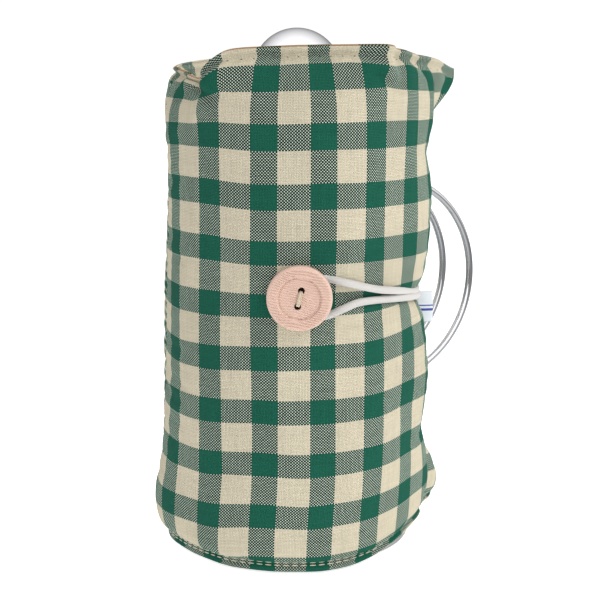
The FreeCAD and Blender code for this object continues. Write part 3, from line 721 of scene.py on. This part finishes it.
def floor_look():
    """White sweep that glows a little near the object; mirrors see it grey, and darker with distance."""
    look = Look("floor", (0.97, 0.98, 0.99), 0.9)
    cloud = look.noise(look.position(), 6.0, 3.0)
    white = look.mix(cloud, (0.965, 0.978, 0.99), (0.975, 0.985, 0.995))
    distance = look.node("VectorMath", {0: look.position()}, "LENGTH").outputs["Value"]
    far = look.fade(distance, 0.12, 0.55, 0.0, 1.0)
    mirrored = look.node("LightPath", {}).outputs["Is Glossy Ray"]
    near = look.mix(mirrored, white, (0.50, 0.51, 0.52))
    look.surface("Base Color", look.mix(look.math("MULTIPLY", far, mirrored), near, (0.10, 0.105, 0.11)))
    look.surface("Emission Color", (1.0, 1.0, 1.0, 1.0))
    bounce = look.math("MAXIMUM", look.ramp(far, 0.80, 0.0), 0.28)
    look.surface("Emission Strength", look.math("MULTIPLY", bounce, look.ramp(mirrored, 1.0, 0.0)))
    return look.material


CORD_RIBS = 22
LABEL_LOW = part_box("care_label")[0].z
LABEL_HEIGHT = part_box("care_label")[1].z - LABEL_LOW
GINGHAM = gingham_look("gingham", (1.0, 1.0, 1.0))
# The rim's top edge: the same check darkened brown, as painted shade.
SHADED_RIM = gingham_look("gingham_rim_shade", (0.60, 0.42, 0.30))
LINING = lining_look()
STITCH = thread_look("stitch_thread", (0.74, 0.68, 0.52))
DARK_STITCH = thread_look("dark_stitch_thread", (0.10, 0.06, 0.035))
BUTTON_THREAD = thread_look("button_thread_look", (0.62, 0.50, 0.36))
ELASTIC = elastic_look()
BUTTON = button_look()
# Near-black brown for the faces sunk into the button's holes: painted shade.
HOLE_SHADE = moulded_look("button_hole_shade", (0.060, 0.022, 0.012), 0.9, 2500.0, 0.02 * MM)
POLISHED = metal_look("polished_steel", (0.82, 0.82, 0.84), 0.09, 900.0, (1.0, 1.0, 1.0), 0.004 * MM)
BRUSHED = metal_look("brushed_steel", (0.70, 0.70, 0.71), 0.30, 700.0, (1.0, 1.0, 0.02), 0.02 * MM)
SPUN = metal_look("spun_steel", (0.72, 0.72, 0.73), 0.24, 700.0, (0.1, 0.1, 1.0), 0.02 * MM)
WIRE_MESH = mesh_look()
BRASS = metal_look("brass", (0.78, 0.58, 0.26), 0.28, 600.0, (1.0, 1.0, 0.05), 0.01 * MM)
SILICONE = moulded_look("silicone", (0.03, 0.03, 0.032), 0.62, 900.0, 0.05 * MM)
PLASTIC = moulded_look("bush_plastic", (0.035, 0.035, 0.038), 0.42, 1500.0, 0.03 * MM)
GETTER = moulded_look("getter", (0.15, 0.15, 0.155), 0.7, 1800.0, 0.06 * MM)
LABEL = label_look()

# -------------------------------------------------------------- mesh tools


def add_piece(name, points, faces, material, smooth_faces=True):
    """A mesh object from points and faces."""
    mesh = bpy.data.meshes.new(name)
    mesh.from_pydata([tuple(point) for point in points], [], faces)
    mesh.polygons.foreach_set("use_smooth", [smooth_faces] * len(faces))
    mesh.update()
    piece = bpy.data.objects.new(name, mesh)
    bpy.context.scene.collection.objects.link(piece)
    mesh.materials.append(material)
    return piece


def ring_faces(rings, sides, first=0):
    """Faces that join each closed ring of points to the next, and a cap at each end."""
    faces = []
    for ring in range(rings - 1):
        low = first + ring * sides
        high = low + sides
        for step in range(sides):
            after = (step + 1) % sides
            faces.append([low + step, low + after, high + after, high + step])
    last = first + (rings - 1) * sides
    faces.append([first + step for step in range(sides)][::-1])
    faces.append([last + step for step in range(sides)])
    return faces


def tube(path, radius, sides, name, material, ribs=0, rib_depth=0.0):
    """A round cord along a path of points, with caps, and UV in metres along and turns round."""
    path = [Vector(point) for point in path]
    count = len(path)
    points = []
    previous = None
    for index, place in enumerate(path):
        forward = (path[min(index + 1, count - 1)] - path[max(index - 1, 0)]).normalized()
        if previous is None:
            previous = forward.orthogonal().normalized()
        side = (previous - forward * previous.dot(forward)).normalized()
        previous = side
        other = forward.cross(side)
        for turn in range(sides):
            angle = 2.0 * math.pi * turn / sides
            reach = radius * (1.0 + rib_depth * math.cos(angle * ribs))
            points.append(place + (side * math.cos(angle) + other * math.sin(angle)) * reach)
    piece = add_piece(name, points, ring_faces(count, sides), material)
    layer = piece.data.uv_layers.new(name="cord")
    lengths = [0.0]
    for index in range(1, count):
        lengths.append(lengths[-1] + (path[index] - path[index - 1]).length)
    for loop in piece.data.loops:
        number = loop.vertex_index
        layer.data[loop.index].uv = (lengths[number // sides], (number % sides) / sides)
    return piece


def turned_piece(name, profile, material, segments):
    """A solid of revolution about the z axis, from an open (radius, height) profile."""
    points = []
    for radius, height in profile:
        for step in range(segments):
            angle = 2.0 * math.pi * step / segments
            points.append((radius * math.cos(angle), radius * math.sin(angle), height))
    return add_piece(name, points, ring_faces(len(profile), segments), material)


def smooth_path(points, count):
    """A Catmull-Rom curve through the points."""
    points = [Vector(point) for point in points]
    points = [points[0] * 2.0 - points[1]] + points + [points[-1] * 2.0 - points[-2]]
    result = []
    spans = len(points) - 3
    for step in range(count + 1):
        where = min(step / count * spans, spans - 1e-6)
        index = int(where)
        part = where - index
        a, b, c, d = points[index:index + 4]
        result.append(0.5 * ((2.0 * b) + (c - a) * part + (2.0 * a - 5.0 * b + 4.0 * c - d) * part ** 2
                             + (3.0 * b - a - 3.0 * c + d) * part ** 3))
    return result


def stitch_row(name, places, radius, material):
    """Short rounded stitches, each between a pair of (point, normal) places."""
    sides = 8
    sink = 0.35
    points = []
    faces = []
    for (first, first_normal), (last, last_normal) in places:
        base = len(points)
        along = last - first
        profile = ((0.0, 0.25, -0.7), (0.12, 0.8, 0.0), (0.5, 1.0, 0.45), (0.88, 0.8, 0.0), (1.0, 0.25, -0.7))
        for part, size, lift in profile:
            normal = (first_normal * (1.0 - part) + last_normal * part).normalized()
            side = normal.cross(along).normalized()
            centre = first + along * part + normal * radius * (lift - sink)
            for step in range(sides):
                angle = 2.0 * math.pi * step / sides
                points.append(centre + (normal * math.sin(angle) + side * math.cos(angle)) * radius * size)
        faces += ring_faces(len(profile), sides, base)
    return add_piece(name, points, faces, material)


# ------------------------------------------------------------ cosy pieces

front_cosy, front_free = cosy_section("front_cosy", JOIN - SEAM_LAP, 360.0 - FLAP_EDGE)
back_cosy, back_free = cosy_section("back_cosy", JOIN + SEAM_LAP, FLAP_EDGE)
for cosy, free in ((front_cosy, front_free), (back_cosy, back_free)):
    for material in (GINGHAM, LINING, SHADED_RIM):
        cosy.data.materials.append(material)
    swell(cosy, free, 4.0, 16)
    subdivide(cosy)
surface = Surface((front_cosy, back_cosy))


def bend_front(piece):
    """Bake the piece's placement into its mesh."""
    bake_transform(piece)


def bend_back(piece):
    """Bake the piece's placement into its mesh."""
    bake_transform(piece)


bend_front(front_cosy)
SPINE_NODES = ("spine_cover", "spine_wadding", "spine_lining")
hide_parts(*SPINE_NODES, "front_cover", "front_wadding", "front_lining")
bend_back(back_cosy)
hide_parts("back_cover", "back_wadding", "back_lining")


THREAD_RADIUS = 0.22 * MM


def hem_stitches(name, end, level, top, stitch, material, bend):
    """A row of stitches from the seam to an end angle, a set distance from the top or bottom hem."""
    pitch, length = stitch
    span = math.radians(abs(end - JOIN)) * COSY_RADIUS
    way = 1.0 if end > JOIN else -1.0
    places = []
    for step in range(int(span / pitch)):
        pair = []
        for offset in (0.0, length):
            along = step * pitch + offset + 1.5 * MM
            angle = JOIN + way * math.degrees(along / COSY_RADIUS)
            low, high = hem_heights(np.array(angle))
            height = float(high) - level if top else float(low) + level
            pair.append(surface.at(angle, height))
        places.append(pair)
    row = stitch_row(name, places, THREAD_RADIUS, material)
    bend(row)


LONG_STITCH = (3.6 * MM, 2.9 * MM)
SHORT_STITCH = (4.8 * MM, 0.9 * MM)
for name, end, bend in (("front", 357.0 - FLAP_EDGE, bend_front), ("back", FLAP_EDGE + 3.0, bend_back)):
    name = name + "_hem_stitches"
    hem_stitches(name + "_low", end, 3.1 * MM, False, LONG_STITCH, STITCH, bend)
    hem_stitches(name + "_next", end, 4.2 * MM, False, LONG_STITCH, STITCH, bend)
    hem_stitches(name + "_top", end, 4.5 * MM, True, SHORT_STITCH, DARK_STITCH, bend)


def edge_stitches(name, angle, low, high, bend):
    """Stitches up a flap's free edge or a seam."""
    pitch = 4.2 * MM
    length = 2.4 * MM
    places = []
    for step in range(int((high - low) / pitch)):
        height = low + step * pitch
        places.append((surface.at(angle, height), surface.at(angle, height + length)))
    row = stitch_row(name, places, THREAD_RADIUS, STITCH)
    bend(row)


for side, name in ((-1.0, "seam_stitches_left"), (1.0, "seam_stitches_right")):
    edge_stitches(name, JOIN + side * 2.4, 8.0 * MM, 196.0 * MM, bend_front if side > 0.0 else bend_back)
edge_inset = math.degrees(4.4 * MM / COSY_RADIUS)
edge_stitches("front_edge_stitches", 360.0 - FLAP_EDGE - edge_inset, 22.0 * MM, 186.0 * MM, bend_front)
edge_stitches("back_edge_stitches", FLAP_EDGE + edge_inset, 10.0 * MM, 196.0 * MM, bend_back)

# ----------------------------------------------------------------- button

BUTTON_RADIUS = 12.5 * MM
BUTTON_THICK = 4.2 * MM
BUTTON_FOOT = COSY_RADIUS + 3.0 * MM
HOLE_REACH = 3.05 * MM
HOLE_RADIUS = 1.2 * MM
HOLE_TILT = math.radians(13.4)
GRAIN_TILT = math.radians(13.0)


def facing_view(point):
    """A point in the button's own frame (right, up, out) in the row frame."""
    out = polar(BUTTON_ANGLE, 1.0, 0.0)
    up = Vector((0.0, 0.0, 1.0))
    right = up.cross(out)
    return right * point[0] + up * (BUTTON_HEIGHT + point[1]) + out * (BUTTON_FOOT + point[2])


def hole_places():
    """Centres of the two holes in the button's frame."""
    across = HOLE_REACH * math.sin(HOLE_TILT)
    upward = HOLE_REACH * math.cos(HOLE_TILT)
    return ((across, upward), (-across, -upward))


def button_height(right, up):
    """Height of the button's face: a rounded rim, a ring, a shallow dish, grain and two holes."""
    reach = math.hypot(right, up)
    edge = 1.3 * MM
    inside = min(max((BUTTON_RADIUS - reach) / edge, 0.0), 1.0)
    height = BUTTON_THICK - edge + edge * math.sqrt(1.0 - (1.0 - inside) ** 2)
    height -= 0.75 * MM * float(smooth(8.6 * MM, 7.6 * MM, reach))
    height -= 0.40 * MM * math.exp(-((reach - 8.0 * MM) / (0.30 * MM)) ** 2)
    along = right * math.cos(GRAIN_TILT) - up * math.sin(GRAIN_TILT)
    down = right * math.sin(GRAIN_TILT) + up * math.cos(GRAIN_TILT)
    wave = 0.35 * MM * math.sin(along / (3.6 * MM) + down / (2.9 * MM))
    wave += 0.2 * MM * math.sin(along / (1.7 * MM) - 1.0)
    groove = math.sin(2.0 * math.pi * (down + wave) / (0.95 * MM))
    strength = 0.20 * MM if reach > 8.2 * MM else 0.15 * MM
    height += strength * groove * inside
    for across, upward in hole_places():
        away = math.hypot(right - across, up - upward)
        sunk = float(smooth(HOLE_RADIUS + 0.12 * MM, HOLE_RADIUS - 0.12 * MM, away))
        height -= (BUTTON_THICK - 1.1 * MM) * sunk
    return height


def make_button():
    """The button as one closed mesh with its grain modelled."""
    segments = 360
    rings = [BUTTON_RADIUS * step / 104 for step in range(1, 101)]
    rings += [BUTTON_RADIUS - 0.30 * MM, BUTTON_RADIUS - 0.14 * MM, BUTTON_RADIUS - 0.05 * MM, BUTTON_RADIUS]
    points = [facing_view((0.0, 0.0, button_height(0.0, 0.0)))]
    loops = [(reach, None) for reach in rings]
    loops += [(BUTTON_RADIUS - inset * MM, low * MM) for inset, low in ((0.0, 1.2), (0.4, 0.4), (1.2, 0.0))]
    for reach, low in loops:
        for step in range(segments):
            angle = 2.0 * math.pi * step / segments
            right = reach * math.cos(angle)
            up = reach * math.sin(angle)
            points.append(facing_view((right, up, button_height(right, up) if low is None else low)))
    faces = [[0, 1 + step, 1 + (step + 1) % segments] for step in range(segments)]
    for ring in range(len(loops) - 1):
        first = 1 + ring * segments
        second = first + segments
        for step in range(segments):
            after = (step + 1) % segments
            faces.append([first + step, second + step, second + after, first + after])
    last = 1 + (len(loops) - 1) * segments
    faces.append([last + step for step in range(segments)][::-1])
    piece = add_piece("button_disc", points, faces, BUTTON)
    piece.data.materials.append(HOLE_SHADE)
    out = polar(BUTTON_ANGLE, 1.0, 0.0)
    # Faces sunk into the holes take the painted shade.
    for face in piece.data.polygons[:segments * 60]:
        if face.center.dot(out) < BUTTON_FOOT + BUTTON_THICK - 1.35 * MM:
            face.material_index = 1
    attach(piece, "button")
    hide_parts("button")


def make_button_thread():
    """Loops of thread between the holes, and the shank under the button."""
    floor = BUTTON_THICK - 0.75 * MM
    (across, upward), _ = hole_places()
    pieces = []
    for number, shift in enumerate((-0.50, -0.17, 0.17, 0.50)):
        side = Vector((math.cos(HOLE_TILT), -math.sin(HOLE_TILT), 0.0)) * shift * MM
        lift = (0.5 + 0.1 * (number % 2)) * MM
        path = [
            Vector((across * 0.84, upward * 0.84, 0.6 * MM)) + side * 0.6,
            Vector((across * 0.84, upward * 0.84, floor - 0.3 * MM)) + side * 0.8,
            Vector((across * 0.62, upward * 0.62, floor + lift)) + side,
            Vector((0.0, 0.0, floor + lift + 0.1 * MM)) + side,
            Vector((-across * 0.8, -upward * 0.8, floor + lift)) + side,
            Vector((-across * 0.95, -upward * 0.95, floor - 0.3 * MM)) + side * 0.8,
            Vector((-across * 0.95, -upward * 0.95, 0.6 * MM)) + side * 0.6,
        ]
        path = [facing_view(point) for point in smooth_path(path, 36)]
        pieces.append(tube(path, 0.27 * MM, 10, "button_thread_%d" % number, BUTTON_THREAD))
    turns = []
    for step in range(140):
        turn = step * 0.5
        place = (1.5 * math.cos(turn), 1.5 * math.sin(turn), -0.25 - step * 0.018)
        turns.append(facing_view(Vector(place) * MM))
    pieces.append(tube(turns, 0.27 * MM, 8, "button_shank", BUTTON_THREAD))
    core = [facing_view((0.0, 0.0, level * MM)) for level in (-2.9, -2.0, -1.0, 0.0)]
    pieces.append(tube(core, 1.35 * MM, 24, "button_shank_core", BUTTON_THREAD))
    for piece in pieces:
        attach(piece, "button")
    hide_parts("button_thread")


make_button()
make_button_thread()

# ------------------------------------------------------- elastic and label


def cord_place(angle, height, lift):
    """A place on the cosy, or on the free span from the front flap's edge into the back hem."""
    if angle > -FLAP_EDGE:
        radius = np.interp(angle, (-FLAP_EDGE, -4.0, 8.0, 16.0, 22.0), (51.6, 50.7, 51.0, 51.7, 51.9))
        return polar(angle, float(radius) * MM, height)
    place, normal = surface.at(angle, height)
    outward = Vector((place.x, place.y, 0.0)).normalized()
    return place + outward * lift


def make_elastic():
    """Both strands of the loop, round the shank behind the button, to the back flap's edge."""
    radius = 1.45 * MM
    lift = radius * 0.7
    upper = (
        (20.5, -5.6, 1.0), (16.0, -5.6, 1.0), (8.0, -5.6, 1.0), (-4.0, -5.6, 1.0), (-15.0, -5.6, 1.0),
        (-26.0, -5.6, 0.3), (-40.0, -5.0, 0.3), (-58.0, -3.6, 0.3), (-76.6, -0.5, 0.8), (-88.0, 1.5, 1.0),
        (-100.4, 4.9, 1.0), (-107.7, 6.6, 1.0),
    )
    lower = (
        (20.5, -8.5, 1.0), (16.0, -8.5, 1.0), (8.0, -8.5, 1.0), (-4.0, -8.5, 1.0), (-15.0, -8.4, 1.0),
        (-26.0, -8.2, 1.4), (-40.0, -7.4, 1.8), (-56.0, -5.9, 1.8), (-71.5, -4.2, 1.4), (-84.4, -3.2, 1.0),
        (-95.2, -3.2, 1.0), (-101.6, -5.0, 1.0), (-107.7, -7.6, 1.0),
    )
    round_shank = (
        (-113.5, 7.4), (-119.0, 6.4), (-123.8, 3.6), (-125.3, 0.0), (-123.8, -3.6), (-119.0, -6.8),
        (-113.5, -8.4),
    )
    places = [(angle, offset, lift * out) for angle, offset, out in upper]
    places += [(angle, offset, radius) for angle, offset in round_shank]
    places += [(angle, offset, lift * out) for angle, offset, out in reversed(lower)]
    path = []
    for angle, offset, out in places:
        place = cord_place(angle, BUTTON_HEIGHT + offset * MM, out)
        if angle < -104.0:
            reach = math.hypot(place.x, place.y)
            place = polar(angle, min(reach, COSY_RADIUS + 1.50 * MM), place.z)
        path.append(place)
    piece = tube(smooth_path(path, 420), radius, 44, "elastic_cord", ELASTIC, CORD_RIBS, 0.03)
    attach(piece, "loop")
    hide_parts("elastic_loop")


def make_label():
    """A folded tab of woven tape that stands out from the flap's edge."""
    angle = math.radians(-18.3)
    start = polar(-18.3, COSY_RADIUS - 1.5 * MM, 0.0)
    out = Vector((math.cos(angle), math.sin(angle), 0.0))
    side = Vector((-out.y, out.x, 0.0))
    length = 6.9 * MM
    half = 0.38 * MM
    profile = [(0.0, half * 0.3), (length * 0.5, half * 1.5), (length - half, half), (length, 0.0),
               (length - half, -half), (length * 0.5, -half * 1.4), (0.0, -half * 0.3)]
    outline = smooth_path([Vector((x, y, 0.0)) for x, y in profile], 28)
    rows = 14
    points = []
    for row in range(rows + 1):
        level = LABEL_LOW + LABEL_HEIGHT * row / rows
        for place in outline:
            curl = 0.5 * MM * math.sin(math.pi * row / rows) * (place.x / length) ** 2
            points.append(start + out * place.x + side * (place.y - curl) + Vector((0.0, 0.0, level)))
    piece = add_piece("label_tab", points, ring_faces(rows + 1, len(outline)), LABEL)
    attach(piece, "care_label")
    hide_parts("care_label")


def make_tack():
    """A bar of close stitches through the back flap's hem, which holds the ends of the elastic."""
    places = []
    for step in range(9):
        angle = 19.2 + 0.42 * step
        high = BUTTON_HEIGHT - (2.9 + 0.25 * (step % 2)) * MM
        low = BUTTON_HEIGHT - (11.0 + 0.25 * (step % 2)) * MM
        places.append((surface.at(angle, high), surface.at(angle + 0.2, low)))
    bar = stitch_row("elastic_tack", places, 0.24 * MM, STITCH)
    bend_back(bar)


make_elastic()
make_tack()
make_label()

# ------------------------------------------------------------ metal pieces

HANDLE_CENTRE_X = 38.8 * MM
HANDLE_CENTRE_Z = 107.0 * MM
HANDLE_BEND = 43.5 * MM
HANDLE_HALF_SWEEP = math.radians(76.0)


def make_handle_rods():
    """Polished rods, bent to an arc."""
    steps = 160
    for node, side in (("handle_rod_front", -1.0), ("handle_rod_back", 1.0)):
        path = []
        for step in range(steps + 1):
            angle = -HANDLE_HALF_SWEEP + 2.0 * HANDLE_HALF_SWEEP * step / steps
            path.append(Vector((HANDLE_CENTRE_X + HANDLE_BEND * math.cos(angle), side * 10.0 * MM,
                                HANDLE_CENTRE_Z + HANDLE_BEND * math.sin(angle))))
        rod = tube(path, 1.5 * MM, 40, node + "_polished", POLISHED)
        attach(rod, "flask")
        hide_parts(node)


def make_knob():
    """Smooth polished ball with a flat foot."""
    radius = (KNOB_HIGH.x - KNOB_LOW.x) / 2.0
    centre = KNOB_HIGH.z - radius
    foot = math.asin((KNOB_LOW.z - centre) / radius)
    profile = [(radius * math.cos(foot) - 0.6 * MM, KNOB_LOW.z)]
    steps = 72
    for step in range(steps):
        angle = foot + (math.pi / 2.0 - foot) * step / steps
        profile.append((radius * math.cos(angle), centre + radius * math.sin(angle)))
    profile.append((0.05 * MM, centre + radius))
    ball = turned_piece("knob_polished", profile, POLISHED, 128)
    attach(ball, "knob")
    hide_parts("knob_ball")


make_handle_rods()
make_knob()

NODE_LOOKS = {
    SILICONE: ("foot_pad", "lid_gasket"),
    BRUSHED: ("base_cap", "outer_shell", "inner_flask", "handle_plate_upper", "handle_plate_lower"),
    SPUN: ("lid_skirt", "spiral_plate", "cross_plate", "filter_nut"),
    POLISHED: ("lid_dome", "plunger_rod", "edge_spring"),
    PLASTIC: ("rod_bush", "knob_collar"),
    GETTER: ("getter_pellet",),
    WIRE_MESH: ("mesh_filter",),
    BRASS: ("knob_insert",),
}
for material, nodes in NODE_LOOKS.items():
    for node in nodes:
        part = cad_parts[node]
        part.data.materials.clear()
        part.data.materials.append(material)

# ------------------------------------------------------- stage and camera


def add_light(name, place, target, size, power, colour):
    """A square soft light that points at a target."""
    data = bpy.data.lights.new(name, "AREA")
    data.shape = "SQUARE"
    data.size = size
    data.energy = power
    data.color = colour
    light = bpy.data.objects.new(name, data)
    bpy.context.scene.collection.objects.link(light)
    light.location = place
    light.rotation_euler = (Vector(target) - Vector(place)).to_track_quat("-Z", "Y").to_euler()


def make_stage():
    """A flat pale floor, a white surround and two soft lights."""
    size = 6.0
    corners = [(-size, -size, 0.0), (size, -size, 0.0), (size, size, 0.0), (-size, size, 0.0)]
    add_piece("floor", corners, [[0, 1, 2, 3]], floor_look(), False)
    world = bpy.data.worlds.new("surround")
    bpy.context.scene.world = world
    world.use_nodes = True
    nodes = Nodes(world.node_tree)
    direction = nodes.node("TexCoord", {}).outputs["Generated"]
    rays = nodes.node("LightPath", {}).outputs

    def shade(axis, low, high, first, second):
        """A grey that runs from first to second as the direction along an axis goes from low to high."""
        along = nodes.node("VectorMath", {0: direction, 1: axis}, "DOT_PRODUCT").outputs["Value"]
        return nodes.fade(along, low, high, first, second)

    def choose(choice, first, second):
        return nodes.node("Mix", {0: choice, 2: first, 3: second}).outputs[0]

    # The camera sees plain white. Dull surfaces are lit more from one side. Mirrors see a room
    # that is dark low down and bright overhead.
    surround = shade(polar(VIEW + 150.0, 1.0, 0.0), -1.0, 1.0, 0.55, 1.45)
    room = shade(polar(VIEW, 0.7, 0.7), -0.70, 0.55, 0.10, 1.30)
    seen = choose(rays["Is Camera Ray"], choose(rays["Is Glossy Ray"], surround, room), 1.02)
    background = world.node_tree.nodes["Background"]
    nodes.set(background, "Strength", 1.0)
    nodes.set(background, "Color", seen)
    middle = (0.0, 0.0, 0.11)
    add_light("key", polar(-60.0, 0.9, 1.0), middle, 0.7, 9.0, (1.0, 0.99, 0.97))
    add_light("fill", polar(-150.0, 1.3, 0.6), middle, 1.0, 2.0, (0.97, 0.98, 1.0))


def make_camera():
    """Camera at the height of the top hem, looking a little down."""
    distance = 0.562
    height = 0.211
    tilt = math.radians(11.1)
    focal_length = 81.78    # in millimetres, as sensor_width is
    data = bpy.data.cameras.new("camera")
    data.sensor_width = 36.0
    data.lens = focal_length
    data.shift_x = 0.005
    camera = bpy.data.objects.new("camera", data)
    bpy.context.scene.collection.objects.link(camera)
    camera.location = polar(VIEW, distance, height)
    inward = -polar(VIEW, 1.0, 0.0)
    aim = inward * math.cos(tilt) - Vector((0.0, 0.0, math.sin(tilt)))
    camera.rotation_euler = aim.to_track_quat("-Z", "Y").to_euler()
    bpy.context.scene.camera = camera


make_stage()
make_camera()
bpy.context.scene.view_settings.view_transform = "Standard"
bpy.context.scene.view_settings.look = "None"

bpy.context.view_layer.update()
